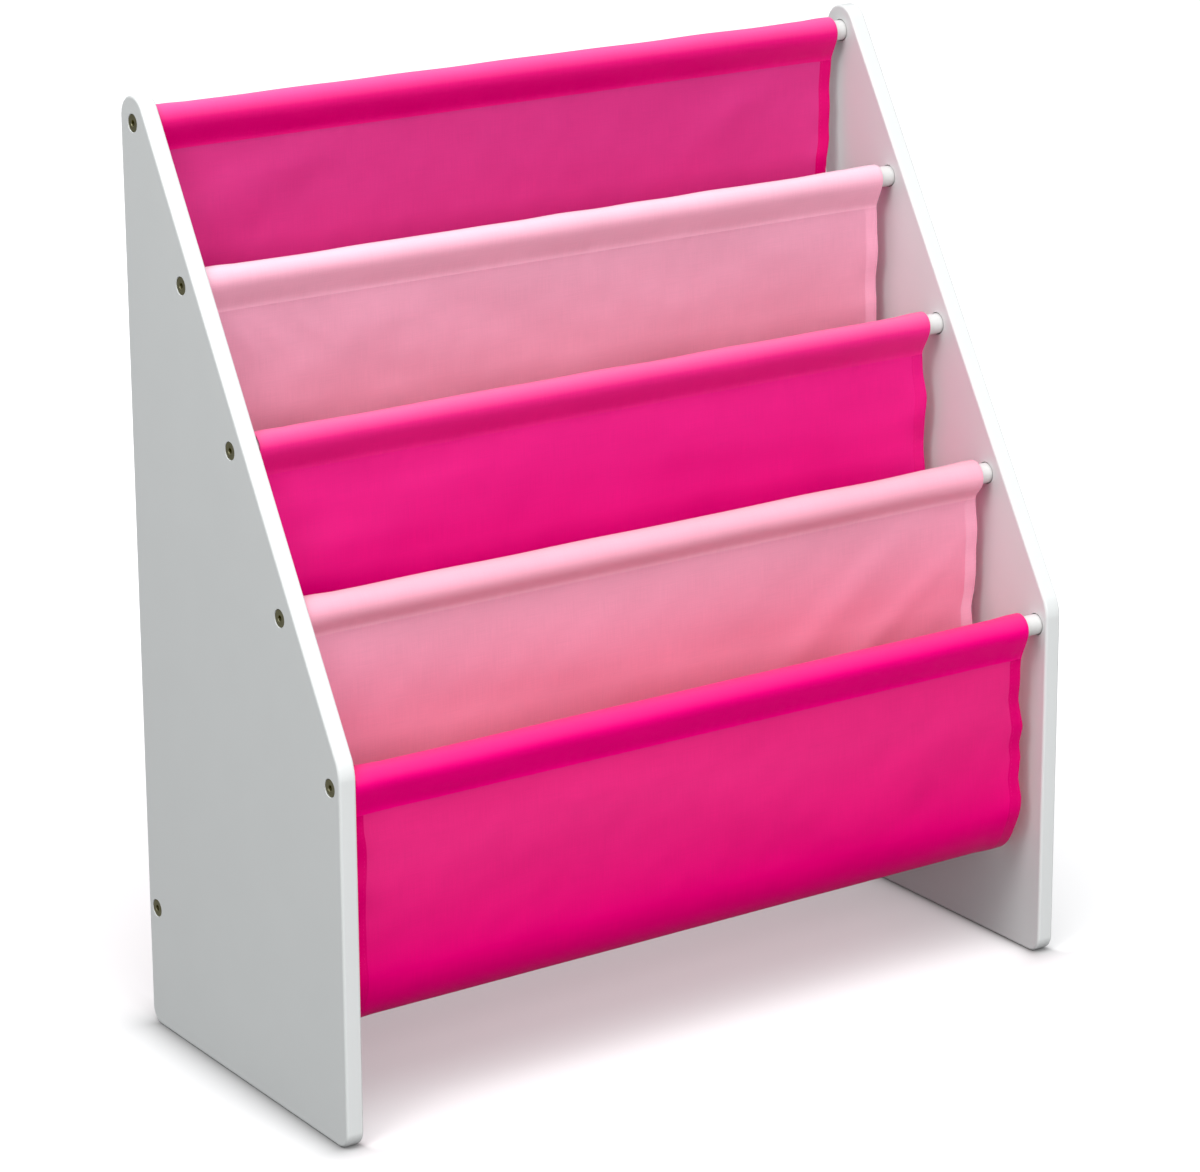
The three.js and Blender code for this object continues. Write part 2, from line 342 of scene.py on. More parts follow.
arc_sides = 120
bpy.ops.object.select_all(action="DESELECT")
bpy.ops.mesh.primitive_circle_add(vertices=arc_sides, radius=top_arc_radius,
                                  location=(left_low.x, top_arc.y, top_arc.z), rotation=(0, math.pi / 2, 0))
left_panel = bpy.context.object
left_panel.name = "left_panel"
bpy.ops.object.transform_apply(location=True, rotation=True, scale=True)


def angle_on_top(vertex):
    return math.atan2(vertex.co.z - top_arc.z + hair, vertex.co.y - top_arc.y)


start_edit()
arc_end = math.pi - slope_angle
pick("verts", lambda v: not 0 <= angle_on_top(v) < arc_end)
bpy.ops.mesh.delete(type="VERT")
pick("verts", lambda v: angle_on_top(v) < math.pi / arc_sides)
slope_start = top_arc + top_arc_radius * Vector((0, math.cos(arc_end), math.sin(arc_end)))
knee = Vector((0, panel_front, front_edge_height))
for step in (
    (0, 0, -top_arc.z),
    (0, panel_front - panel_back, 0),
    (0, 0, front_edge_height),
    slope_start - knee,
):
    bpy.ops.mesh.extrude_vertices_move(TRANSFORM_OT_translate={"value": tuple(step)})
bpy.ops.mesh.select_all(action="SELECT")
bpy.ops.mesh.edge_face_add()
bpy.ops.mesh.select_mode(type="FACE")
bpy.ops.mesh.select_all(action="SELECT")
bpy.ops.mesh.extrude_region_move(TRANSFORM_OT_translate={"value": (panel_thickness, 0, 0)})
face_outwards()


def corner_edge(y, z):
    return lambda e: all(abs(v.co.y - y) < hair and abs(v.co.z - z) < hair for v in e.verts)


for y in (panel_front, panel_back):
    pick("edges", corner_edge(y, 0))
    bpy.ops.mesh.bevel(offset=foot_corner_radius, segments=corner_steps, affect="EDGES", clamp_overlap=False)
pick("edges", corner_edge(panel_front, front_edge_height))
knee_cut = knee_radius * math.tan(slope_angle / 2)
bpy.ops.mesh.bevel(offset=knee_cut, segments=corner_steps, affect="EDGES", clamp_overlap=False)
pick("edges", lambda e: abs(e.verts[0].co.x - e.verts[1].co.x) < hair)
bpy.ops.mesh.bevel(offset=panel_edge_radius, segments=edge_steps, affect="EDGES", clamp_overlap=False)
end_edit()

# the holes for one fastener: countersink, bolt hole and dowel socket, each with its arris just broken
countersink_radius = 6.3 * mm
bolt_hole_radius = 3.4 * mm
countersink_flat = 1.4 * mm
socket_radius = 8.1 * mm
socket_depth = 5 * mm
broken_arris = 0.25 * mm
drill_sides = 56
outer = left_low.x
inner = left_high.x
drills = []
for k, axis in enumerate(dowel_axes):
    drills.append(turn_on_lathe(f"drill_{k}", axis, [
        (outer - 2 * broken_arris, countersink_radius + 3 * broken_arris),
        (outer + broken_arris, countersink_radius),
        (outer + countersink_flat, countersink_radius),
        (outer + countersink_flat + countersink_radius - bolt_hole_radius, bolt_hole_radius),
        (inner - socket_depth, bolt_hole_radius),
        (inner - socket_depth, socket_radius),
        (inner - broken_arris, socket_radius),
        (inner + 2 * broken_arris, socket_radius + 3 * broken_arris),
    ], drill_sides))
for drill in drills:
    choose(left_panel)
    hole = left_panel.modifiers.new("hole", "BOOLEAN")
    hole.object = drill
    hole.operation = "DIFFERENCE"
    hole.solver = "EXACT"
    bpy.ops.object.modifier_apply(modifier="hole")
    bpy.data.objects.remove(drill)

right_panel = copy_of(left_panel, "right_panel")
choose(right_panel)
start_edit()
bpy.ops.mesh.select_all(action="SELECT")
bpy.ops.transform.resize(value=(-1, 1, 1), center_override=(0, 0, 0))
face_outwards()
end_edit()


def shade(piece, degrees=35):
    """Smooth shading that keeps the flats flat beside their rounded edges."""
    choose(piece)
    bpy.ops.object.shade_smooth_by_angle(angle=math.radians(degrees))
    weighted = piece.modifiers.new("weighted", "WEIGHTED_NORMAL")
    weighted.keep_sharp = True
    bpy.ops.object.modifier_apply(modifier="weighted")


# sprayed satin paint: faint orange peel, a hint of the sanded fibres on the cut edges and slight unevenness
board_paint = Finish("sprayed_white_paint")
where = board_paint.place()
peel = board_paint.noise(where, 420, detail=2, roughness=0.45)
waves = board_paint.noise(where, 24, detail=3)
fibres = board_paint.noise(board_paint.place((500, 60, 60)), 6, detail=4, roughness=0.6)
normal = board_paint.add("ShaderNodeNewGeometry").outputs["Normal"]
sideways = board_paint.add("ShaderNodeSeparateXYZ", Vector=normal).outputs[0]
on_edge = board_paint.spread(board_paint.maths("ABSOLUTE", sideways), 1, 0, 0.2, 0.7)
edge_fibres = board_paint.maths("MULTIPLY", fibres, on_edge)
peeled = board_paint.bump(peel, 0.12, 0.15 * mm)
board_paint.coat(
    Base_Color=board_paint.blend(waves, (0.73, 0.75, 0.747), (0.755, 0.775, 0.772)),
    Roughness=board_paint.spread(waves, 0.30, 0.40),
    Normal=board_paint.bump(edge_fibres, 0.25, 0.08 * mm, Normal=peeled),
    Specular_IOR_Level=0.5,
)

for panel, node in ((left_panel, "left_side_panel"), (right_panel, "right_side_panel")):
    shade(panel)
    panel.data.materials.clear()
    panel.data.materials.append(board_paint.material)
    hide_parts(node)
    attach(panel, "root")


# Dowels. Six 15 mm wooden rods painted white, five of them carrying the slings and one bracing the back.
# Their ends sit in shallow sockets in the panels and are bored for the insert nuts.
rod_low, rod_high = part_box("sling_dowel_1")
rod_radius = (rod_high.z - rod_low.z) / 2
rod_end_chamfer = 0.8 * mm
end_bore_radius = 4.8 * mm
end_bore_depth = 17.5 * mm
rod_sides = 64
first_rod = turn_on_lathe("rod_1", top_axis, [
    (rod_low.x + end_bore_depth, end_bore_radius),
    (rod_low.x, end_bore_radius),
    (rod_low.x, rod_radius - rod_end_chamfer),
    (rod_low.x + rod_end_chamfer / 3, rod_radius - rod_end_chamfer / 3),
    (rod_low.x + rod_end_chamfer, rod_radius),
    (rod_high.x - rod_end_chamfer, rod_radius),
    (rod_high.x - rod_end_chamfer / 3, rod_radius - rod_end_chamfer / 3),
    (rod_high.x, rod_radius - rod_end_chamfer),
    (rod_high.x, end_bore_radius),
    (rod_high.x - end_bore_depth, end_bore_radius),
], rod_sides)
shade(first_rod)


def move_mesh(piece, step):
    choose(piece)
    start_edit()
    bpy.ops.mesh.select_all(action="SELECT")
    bpy.ops.transform.translate(value=tuple(step))
    end_edit()


# brushed white paint over fine straight grain
rod_paint = Finish("brushed_white_paint")
grain = rod_paint.noise(rod_paint.place((14, 700, 700)), 1, detail=5, roughness=0.6)
patches = rod_paint.noise(rod_paint.place((8, 60, 60)), 1, detail=3)
rod_paint.coat(
    Base_Color=rod_paint.blend(patches, (0.65, 0.65, 0.64), (0.70, 0.70, 0.69)),
    Roughness=rod_paint.spread(grain, 0.30, 0.46),
    Normal=rod_paint.bump(grain, 0.3, 0.06 * mm),
)
first_rod.data.materials.append(rod_paint.material)

rod_names = [f"rod_{k}" for k in range(1, 6)] + ["rear_brace_rod"]
for name, node, axis in zip(rod_names, dowel_nodes, dowel_axes):
    if name == first_rod.name:
        rod = first_rod
    else:
        rod = copy_of(first_rod, name)
        move_mesh(rod, axis - top_axis)
    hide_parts(node)
    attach(rod, "root")


# Bolts and insert nuts. M6 countersunk bolts of antique-brass plated steel with a hexagon socket go through
# the panels into zinc insert nuts, which are pressed into the ends of the dowels.
head_radius = 6 * mm
head_recess = 0.3 * mm
head_rim = 0.8 * mm
shank_radius = 3 * mm
bolt_length = 23 * mm
key_width = 4 * mm
key_depth = 2.4 * mm
arris = 0.15 * mm
bolt_sides = 48
face = outer + head_recess
first_bolt = turn_on_lathe("left_hex_bolt_1", top_axis, [
    (face, head_radius - 2 * arris),
    (face + arris / 2, head_radius - arris / 2),
    (face + 2 * arris, head_radius),
    (face + head_rim - arris, head_radius),
    (face + head_rim, head_radius - arris),
    (face + head_rim + head_radius - shank_radius, shank_radius),
    (face + bolt_length - 4 * arris, shank_radius),
    (face + bolt_length, shank_radius - 4 * arris),
], bolt_sides)
key_radius = key_width / 2 / math.cos(math.pi / 6)
bpy.ops.object.select_all(action="DESELECT")
bpy.ops.mesh.primitive_cylinder_add(vertices=6, radius=key_radius, depth=2 * key_depth,
                                    location=(face, top_axis.y, top_axis.z), rotation=(0, math.pi / 2, 0))
hex_key = bpy.context.object
bpy.ops.object.transform_apply(location=True, rotation=True, scale=True)
start_edit()
pick("faces", lambda f: f.normal.x > 0.9)
drill_point, point_share = key_radius / 2, 0.1
tip = (face + key_depth + drill_point, top_axis.y, top_axis.z)
bpy.ops.mesh.extrude_region_move(TRANSFORM_OT_translate={"value": (drill_point, 0, 0)})
bpy.ops.transform.resize(value=(1, point_share, point_share), center_override=tip)
end_edit()
entry = turn_on_lathe("key_entry", top_axis, [
    (face - 2 * arris, key_radius + 3 * arris),
    (face + 2 * arris, key_radius - arris),
], bolt_sides)
for cutter in (hex_key, entry):
    choose(first_bolt)
    socket = first_bolt.modifiers.new("socket", "BOOLEAN")
    socket.object = cutter
    socket.operation = "DIFFERENCE"
    socket.solver = "EXACT"
    bpy.ops.object.modifier_apply(modifier="socket")
    bpy.data.objects.remove(cutter)
shade(first_bolt, 25)

# dull antique-brass plating: mottled with tarnish and finely scuffed
plating = Finish("antique_brass_plating")
where = plating.place()
tarnish = plating.noise(where, 900, detail=4, roughness=0.6)
scuffs = plating.noise(where, 3200, detail=2)
plating.coat(
    Base_Color=plating.blend(tarnish, (0.20, 0.195, 0.12), (0.44, 0.41, 0.25)),
    Roughness=plating.spread(tarnish, 0.30, 0.55),
    Normal=plating.bump(scuffs, 0.15, 0.03 * mm),
    Metallic=0.9,
)
first_bolt.data.materials.clear()
first_bolt.data.materials.append(plating.material)

for side in ("left", "right"):
    for number, axis in zip(("1", "2", "3", "4", "5", "brace"), dowel_axes):
        name = f"{side}_hex_bolt_{number}"
        bolt = first_bolt if name == first_bolt.name else copy_of(first_bolt, name)
        if side == "right":
            choose(bolt)
            start_edit()
            bpy.ops.mesh.select_all(action="SELECT")
            bpy.ops.transform.rotate(value=math.pi, orient_axis="Z", center_override=(0, top_axis.y, 0))
            end_edit()
        if bolt is not first_bolt:
            move_mesh(bolt, axis - top_axis)
        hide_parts(f"{side}_bolt_{number}")
        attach(bolt, "root")

# cast zinc: pale grey with a fine pebbled skin
zinc = Finish("cast_zinc")
where = zinc.place()
pebbles = zinc.noise(where, 2500, detail=3)
clouds = zinc.noise(where, 300, detail=2)
zinc.coat(
    Base_Color=zinc.blend(clouds, (0.42, 0.41, 0.36), (0.54, 0.53, 0.48)),
    Roughness=zinc.spread(clouds, 0.32, 0.5),
    Normal=zinc.bump(pebbles, 0.2, 0.05 * mm),
    Metallic=1,
)
for node_name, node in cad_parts.items():
    if "_insert_" in node_name:
        for slot in node.material_slots:
            slot.material = zinc.material


# Slings. Five bands of thin plain-woven cloth, alternately dark and light pink, hemmed at both sides. Each
# is sewn into a tunnel round its dowel, and each but the top one runs on under its pocket and is lapped onto
# the band behind.
hem = 10.5 * mm
hem_turn = 0.35 * mm
hem_room = 0.7 * mm
cloth_thickness = 0.4 * mm
seam_half_gap = 0.45 * mm
tunnel_flattening = 0.9 * mm
rod_clearance = 0.75 * mm
layer_half_gap = 1.1 * mm
layers_apart = 50 * mm
pocket_side = 137 * mm
pocket_sag = 40 * mm
lap = 12 * mm
stub = 3.5 * mm
arc_steps = 60


def arc_points(centre, radius_y, radius_z, start, end):
    turn = np.linspace(start, end, arc_steps)
    return [(centre[0] + radius_y * math.cos(a), centre[1] + radius_z * math.sin(a)) for a in turn]


def seam_to_rod(radius, seam_drop):
    """The seam's distance from the dowel's axis, and the angle at which cloth from it meets the tunnel."""
    reach = math.hypot(seam_half_gap, seam_drop)
    return reach, math.atan2(-seam_drop, seam_half_gap) + math.acos(radius / reach)


def tunnel_line(radius, seam_drop):
    """From the rear side of the tunnel's seam over the dowel to its front side, round the dowel's axis."""
    _, lean = seam_to_rod(radius, seam_drop)
    depth = max(radius - tunnel_flattening, rod_radius + rod_clearance)
    over_rod = arc_points((0, 0), depth, radius, lean, math.pi - lean)
    return [(seam_half_gap, -seam_drop)] + over_rod + [(-seam_half_gap, -seam_drop)]


def crown_to_seam(radius, seam_drop):
    """The length of cloth from the top of the tunnel down to its seam."""
    reach, lean = seam_to_rod(radius, seam_drop)
    return radius * (math.pi / 2 - lean) + math.sqrt(reach ** 2 - radius ** 2)


def length_along(points):
    steps = np.hypot(*np.diff(points, axis=0).T)
    return np.concatenate([[0], np.cumsum(steps)])


def even_line(points, step):
    """The line through the points, at even steps and with its corners softened as cloth softens them."""
    softness, soft_reach = 2.4 * mm, 7 * mm
    points = np.array(points)
    length = length_along(points)
    count = int(round(length[-1] / step))
    at = np.linspace(0, length[-1], count + 1)
    line = np.stack([np.interp(at, length, points[:, k]) for k in range(2)], 1)
    reach = int(round(soft_reach / step))
    weights = np.exp(-0.5 * (np.arange(-reach, reach + 1) * step / softness) ** 2)
    padded = np.concatenate([
        2 * line[0] - line[reach:0:-1], line, 2 * line[-1] - line[-2:-reach - 2:-1]])
    return np.stack([np.convolve(padded[:, k], weights / weights.sum(), "valid") for k in range(2)], 1)


def ripples(across, along, size, seed):
    """Smooth unevenness of about that size, from a few crossing waves."""
    waves = 8
    chance = np.random.default_rng(seed)
    total = 0
    for _ in range(waves):
        heading = chance.uniform(0, math.pi)
        length = size * chance.uniform(0.7, 1.6)
        phase = chance.uniform(0, 2 * math.pi)
        run = across * math.cos(heading) + along * math.sin(heading)
        total = total + np.sin(2 * math.pi * run / length + phase)
    return total / math.sqrt(waves)


def soft_folds(x, z, folds):
    """The forward swell of the listed soft folds: (x, z, angle, length, width, height) in mm and degrees."""
    swell = np.zeros_like(x)
    for fold_x, fold_z, angle, length, width, height in folds:
        turn = math.radians(angle)
        along = (x / mm - fold_x) * math.cos(turn) + (z / mm - fold_z) * math.sin(turn)
        over = (z / mm - fold_z) * math.cos(turn) - (x / mm - fold_x) * math.sin(turn)
        swell += height * mm * np.exp(-(along / length) ** 2 - (over / width) ** 2)
    return swell


def ramp(distance, length):
    return np.clip(distance / length, 0, 1)


def near(distance, reach):
    return np.exp(-(distance / reach) ** 2)


class Band:
    """One sling: a hemmed sheet, laid along its route and given its folds."""

    def __init__(self, number, tunnel_radius, seam_drop, left, right_edge, folds, seed, dye_and_painted_light):
        self.number = number
        self.axis = dowel_axes[number - 1]
        self.radius = tunnel_radius
        self.seam_drop = seam_drop
        self.seam = crown_to_seam(tunnel_radius, seam_drop)
        self.left = left
        self.right_edge = right_edge
        self.right = right_edge[0][1] * mm
        self.width = self.right - left
        self.folds = folds
        self.seed = seed
        self.dye_and_painted_light = dye_and_painted_light

    def route(self):
        """The (y, z) places from the cloth's rear end to its front end, round the dowel's axis.

        The front layer of the upper bands ends at the foot of the next pocket. Below the top band, one layer
        runs on under the pocket and up to its lap: the rear one, or the front one of the lowest band.
        """
        tunnel = tunnel_line(self.radius, self.seam_drop)
        layers_hang = -self.seam_drop - layers_apart
        front = []
        rear = [(seam_half_gap, -self.seam_drop - stub)]
        if self.number < 5:
            foot = dowel_axes[self.number].z - self.axis.z - pocket_side
            front = [(-layer_half_gap, layers_hang), (-layer_half_gap, foot)]
        if self.number > 1:
            lap_y = dowel_axes[self.number - 2].y - self.axis.y - layer_half_gap + 2 * cloth_thickness
            wall_y = layer_half_gap if self.number < 5 else -layer_half_gap
            half = (lap_y - wall_y) / 2
            sag = arc_points((wall_y + half, -pocket_side), half, pocket_sag, math.pi, 2 * math.pi)
            pocket = [(wall_y, layers_hang)] + sag + [(lap_y, -pocket_side + lap)]
            if self.number < 5:
                rear = pocket[::-1]
            else:
                front = pocket
        return rear + tunnel + front

    def lay_rows(self):
        """The rows, closer near the dowel: their lengths along the route, places and outward sides."""
        route_step, fine_step, coarse_step = 0.4 * mm, 1.6 * mm, 3.1 * mm
        fine_beyond_seam = 8 * mm
        route = even_line(self.route(), route_step)
        length = length_along(route)
        crown = length[np.argmax(route[:, 1])]
        rows = [0]
        while rows[-1] < length[-1]:
            by_dowel = abs(rows[-1] - crown) < self.seam + fine_beyond_seam
            rows.append(rows[-1] + (fine_step if by_dowel else coarse_step))
        rows = np.array(rows) * length[-1] / rows[-1]
        self.cut_length = length[-1]
        self.v = rows - crown
        line = np.stack([np.interp(rows, length, route[:, k]) for k in range(2)], 1)
        tangent = np.gradient(line, rows, axis=0)
        tangent /= np.hypot(*tangent.T)[:, None]
        return rows, line, np.stack([tangent[:, 1], -tangent[:, 0]], 1)

    def lay_columns(self):
        """The columns from hem to hem: where they lie across the band, and how far they are tucked under."""
        column_step = 2.8 * mm
        half = self.width / 2
        turn = math.pi * hem_turn / 2
        body = np.linspace(-half + turn, half - turn, int(round((self.width - 2 * turn) / column_step)) + 1)
        fold = np.array([0.25, 0.5, 0.75, 1]) * 2 * turn
        flap = np.linspace(half + turn, half + hem, 5)[1:]
        right_side = np.concatenate([half - turn + fold, flap])
        self.cut_width = self.width + 2 * hem
        self.u = np.concatenate([-right_side[::-1], body, right_side])
        off_centre = np.abs(self.u)
        over = np.clip((off_centre - (half - turn)) / hem_turn, 0, math.pi)
        flat = np.minimum(off_centre, half - turn)
        flat = np.where(off_centre > half + turn, 2 * half - turn - (off_centre - turn), flat)
        place = np.sign(self.u) * (flat + hem_turn * np.sin(over)) + (self.left + self.right) / 2
        return place, hem_turn * (1 - np.cos(over))

    def lay(self):
        """The grid of places on the cloth: rows along the route, columns from the left hem to the right."""
        rows, line, normal = self.lay_rows()
        place, tuck = self.lay_columns()
        shape = (len(rows), len(place))
        x = np.broadcast_to(place[None, :], shape).copy()
        height = np.broadcast_to(line[:, 1:], shape)
        y = self.axis.y + np.broadcast_to(line[:, :1], shape)
        z = self.axis.z + height
        along = np.broadcast_to(self.v[:, None], shape)
        still = np.zeros(shape)

        # the side edges wander, and the cloth beside them follows less and less
        follow = 45 * mm
        heights, edges = np.array(self.right_edge).T * mm
        order = np.argsort(heights)
        edge_shift = np.interp(height, heights[order], edges[order]) - self.right
        from_right = np.clip(self.right - x, 0, None)
        from_left = np.clip(x - self.left, 0, None)
        x += edge_shift * near(from_right, follow)
        wander = 1.3 * mm * ripples(along, still, 55 * mm, self.seed + 50)
        x += np.clip(wander, 0, None) * near(from_left, follow)

        # the layers hang free from a little below the seam down to the pocket, but not where they are lapped
        freed_by, free_until, stilled_over = 25 * mm, 185 * mm, 60 * mm
        past_lap, free_of_lap = 4 * mm, 50 * mm
        free = 1
        if self.number > 1:
            from_lap = rows if self.number < 5 else self.cut_length - rows
            free = ramp(from_lap - lap - past_lap, free_of_lap)[:, None]
        hanging = ramp(-height - self.seam_drop, freed_by) * ramp(height + free_until, stilled_over) * free

        # they swell in soft folds and curl at the sides
        swell = soft_folds(x, z, self.folds)
        swell += 0.55 * mm * ripples(x * 0.8, z + 0.45 * x, 120 * mm, self.seed)
        swell += 0.12 * mm * ripples(x, z, 34 * mm, self.seed + 1)
        y -= swell * hanging
        curl_reach = 16 * mm
        curl = 1.5 * mm * ripples(still, z, 46 * mm, self.seed + 2)
        y -= curl * hanging * (near(from_right, curl_reach) + near(from_left, curl_reach))

        # the cloth gathers along the seam and is slack in the tunnel, and its doubled hems need some room
        by_seam = near(np.abs(along) - self.seam, 7 * mm)
        y -= 0.16 * mm * ripples(x, still, 11 * mm, self.seed + 3) * by_seam
        in_tunnel = ramp(self.seam - np.abs(along), 12 * mm)
        looseness = np.clip(1.1 + ripples(x, 0.6 * along, 75 * mm, self.seed + 4), 0, 2.6)
        slack = 0.28 * mm * looseness * in_tunnel
        hem_slope = 14 * mm
        to_side = self.width / 2 - np.abs(self.u)[None, :]
        room = hem_room * ramp(hem + hem_slope - to_side, hem_slope) * (free if self.number < 5 else 1)
        outwards = slack + room - tuck[None, :]
        y += normal[:, :1] * outwards
        z += normal[:, 1:] * outwards
        self.grid = np.stack([x, y, z], 2)

    def sheet(self, name, finish):
        """The sheet as a mesh with its thickness. Its UV map is in metres of flat cloth from the crown."""
        rows, columns = self.grid.shape[:2]
        index = np.arange(rows * columns).reshape(rows, columns)
        quads = np.stack([index[:-1, :-1], index[:-1, 1:], index[1:, 1:], index[1:, :-1]], 2).reshape(-1, 4)
        cloth = bpy.data.meshes.new(name)
        cloth.from_pydata(self.grid.reshape(-1, 3).tolist(), [], quads.tolist())
        flat_u = np.broadcast_to(self.u[None, :], (rows, columns)).reshape(-1)
        flat_v = np.broadcast_to(self.v[:, None], (rows, columns)).reshape(-1)
        layer = cloth.uv_layers.new(name="flat_cloth")
        corners = quads.reshape(-1)
        layer.data.foreach_set("uv", np.stack([flat_u[corners], flat_v[corners]], 1).reshape(-1).astype("f"))
        piece = bpy.data.objects.new(name, cloth)
        bpy.context.scene.collection.objects.link(piece)
        choose(piece)
        bpy.ops.object.shade_smooth()
        wall = piece.modifiers.new("thickness", "SOLIDIFY")
        wall.thickness = cloth_thickness
        wall.offset = 0
        bpy.ops.object.modifier_apply(modifier="thickness")
        piece.data.materials.append(finish.material)
        return piece

    def at(self, u, v):
        """The place and the outward side of the cloth at that flat place."""
        row = np.interp(v, self.v, np.arange(len(self.v)))
        column = np.interp(u, self.u, np.arange(len(self.u)))
        i = min(int(row), len(self.v) - 2)
        j = min(int(column), len(self.u) - 2)
        a, b = row - i, column - j
        p00, p01 = self.grid[i, j], self.grid[i, j + 1]
        p10, p11 = self.grid[i + 1, j], self.grid[i + 1, j + 1]
        place = (1 - a) * ((1 - b) * p00 + b * p01) + a * ((1 - b) * p10 + b * p11)
        out = np.cross(p10 - p00, p01 - p00)
        return place, out / np.linalg.norm(out)


def sew(name, band, lines, finish):
    """Single stitches along flat lines from (u, v) to (u, v), on the outer face, 1, or the inner one, -1."""
    stitch, gap, thread = 2.6 * mm, 0.8 * mm, 0.14 * mm
    flattening, dive = 0.8, 1.2
    rings = ((0.0, 0.25), (0.25, 1.0), (0.75, 1.0), (1.0, 0.25))
    sides = 5
    last_ring = sides * (len(rings) - 1)
    lift = cloth_thickness / 2 - thread / 2
    verts, faces = [], []
    for (u0, v0), (u1, v1), face in lines:
        run = math.hypot(u1 - u0, v1 - v0)
        for k in range(int(run / (stitch + gap))):
            start = (k * (stitch + gap) + gap / 2) / run
            ends = [band.at(u0 + (u1 - u0) * t, v0 + (v1 - v0) * t) for t in (start, start + stitch / run)]
            p, q = (place + face * out * lift for place, out in ends)
            out = face * ends[0][1]
            forward = (q - p) / np.linalg.norm(q - p)
            side = np.cross(forward, out)
            base = len(verts)
            for share, size in rings:
                centre = p + (q - p) * share - out * thread * (1 - size) * dive
                for turn in range(sides):
                    a = 2 * math.pi * turn / sides
                    off_axis = math.cos(a) * side + flattening * math.sin(a) * out
                    verts.append(centre + thread * size * off_axis)
            for ring in range(0, last_ring, sides):
                for turn in range(sides):
                    a = base + ring + turn
                    b = base + ring + (turn + 1) % sides
                    faces.append((a, b, b + sides, a + sides))
            faces.append(tuple(base + sides - 1 - turn for turn in range(sides)))
            faces.append(tuple(base + last_ring + turn for turn in range(sides)))
    mesh = bpy.data.meshes.new(name)
    mesh.from_pydata([tuple(v) for v in verts], [], faces)
    piece = bpy.data.objects.new(name, mesh)
    bpy.context.scene.collection.objects.link(piece)
    choose(piece)
    start_edit()
    face_outwards()
    end_edit()
    bpy.ops.object.shade_smooth()
    piece.data.materials.append(finish.material)
    return piece


def weave_finish(name, band):
    """Plain weave: yarns over and under, slubs, soft mottling, and a colour for each part of the band.

    The cloth has one colour where it hangs single, paled by painted light from the bright room behind, most
    of all in the top band, and turns to the low one, a painted shade, towards the pocket below. It has others
    where it is doubled in the tunnel, partly the doubled cloth's own colour and partly painted light lifting
    the shade under the tunnel, on the tunnel's crown, painted light for its lit top, and in the hems.
    """
    cloth = Finish(name)
    dye_and_painted_light = band.dye_and_painted_light
    yarn_pair = 1.1 * mm
    along_yarn, across_yarn, cloudy = 45, 1600, 14
    painted_crown_light_from, painted_crown_light_to = 3 * mm, 14 * mm
    through_doubled = 0.04
    flat = cloth.add("ShaderNodeUVMap", {"uv_map": "flat_cloth"}).outputs[0]
    split = cloth.add("ShaderNodeSeparateXYZ", Vector=flat)
    u, v = split.outputs[0], split.outputs[1]
    wave_u = cloth.maths("SINE", cloth.maths("MULTIPLY", u, 2 * math.pi / yarn_pair))
    wave_v = cloth.maths("SINE", cloth.maths("MULTIPLY", v, 2 * math.pi / yarn_pair))
    weave = cloth.maths("MULTIPLY", wave_u, wave_v)

    def stretched(across, along, detail):
        where = cloth.add("ShaderNodeMapping", Vector=flat, Scale=(across, along, 1)).outputs[0]
        return cloth.noise(where, 1, detail=detail, roughness=0.6)

    weft_slubs = stretched(along_yarn, across_yarn, 2)
    warp_slubs = stretched(across_yarn, along_yarn, 2)
    slubs = cloth.maths("ADD", weft_slubs, warp_slubs)
    clouds = stretched(cloudy, cloudy, 3)
    from_crown = cloth.maths("ABSOLUTE", v)
    at_hem = cloth.maths("GREATER_THAN", cloth.maths("ABSOLUTE", u), band.width / 2 - hem)
    in_tunnel = cloth.maths("LESS_THAN", from_crown, band.seam)
    # painted light in the colours: the single one is paled by light from the room behind, the low one is
    # painted shade towards the pocket, the doubled one partly lifts the shade under the tunnel, and the
    # crown's is painted light for the tunnel's lit top
    hanging = cloth.blend(cloth.spread(v, 0, 1, *dye_and_painted_light["painted_shade_between"]), dye_and_painted_light["single"], dye_and_painted_light["low"])
    hemmed = cloth.blend(at_hem, hanging, dye_and_painted_light["hem"])
    doubled = cloth.blend(cloth.spread(from_crown, 1, 0, painted_crown_light_from, painted_crown_light_to), dye_and_painted_light["doubled"], dye_and_painted_light["crown"])
    tone = cloth.maths("ADD", cloth.spread(slubs, -0.045, 0.045, 0.6, 1.4), cloth.spread(clouds, 0.94, 1.06))
    toned = cloth.add("ShaderNodeVectorMath", {"operation": "SCALE"},
                      Vector=cloth.blend(in_tunnel, hemmed, doubled), Scale=tone).outputs[0]
    height = cloth.maths("ADD", cloth.maths("MULTIPLY", weave, 0.5), slubs)
    cloth.coat(
        Base_Color=toned,
        Roughness=cloth.spread(weft_slubs, 0.44, 0.58),
        Normal=cloth.bump(height, 0.35, 0.1 * mm),
        Sheen_Weight=0.06,
        Sheen_Roughness=0.4,
        Specular_IOR_Level=0.25,
    )
    glow = cloth.add("ShaderNodeBsdfTranslucent", Color=toned).outputs[0]
    let_through = cloth.spread(cloth.maths("MAXIMUM", at_hem, in_tunnel), dye_and_painted_light["through"], through_doubled)
    mix = cloth.add("ShaderNodeMixShader", _0=let_through, _1=cloth.shader.outputs[0], _2=glow)
    cloth.plug(cloth.output, Surface=mix.outputs[0])
    return cloth


def thread_finish(name, colour):
    """Twisted sewing thread, a shade off the cloth."""
    thread = Finish(name)
    twist = thread.noise(thread.place(), 2600, detail=1)
    lighter = tuple(min(1, c * 1.08) for c in colour)
    thread.coat(
        Base_Color=thread.blend(twist, colour, lighter),
        Roughness=thread.spread(twist, 0.4, 0.6),
        Normal=thread.bump(twist, 0.5, 0.08 * mm),
    )
    return thread
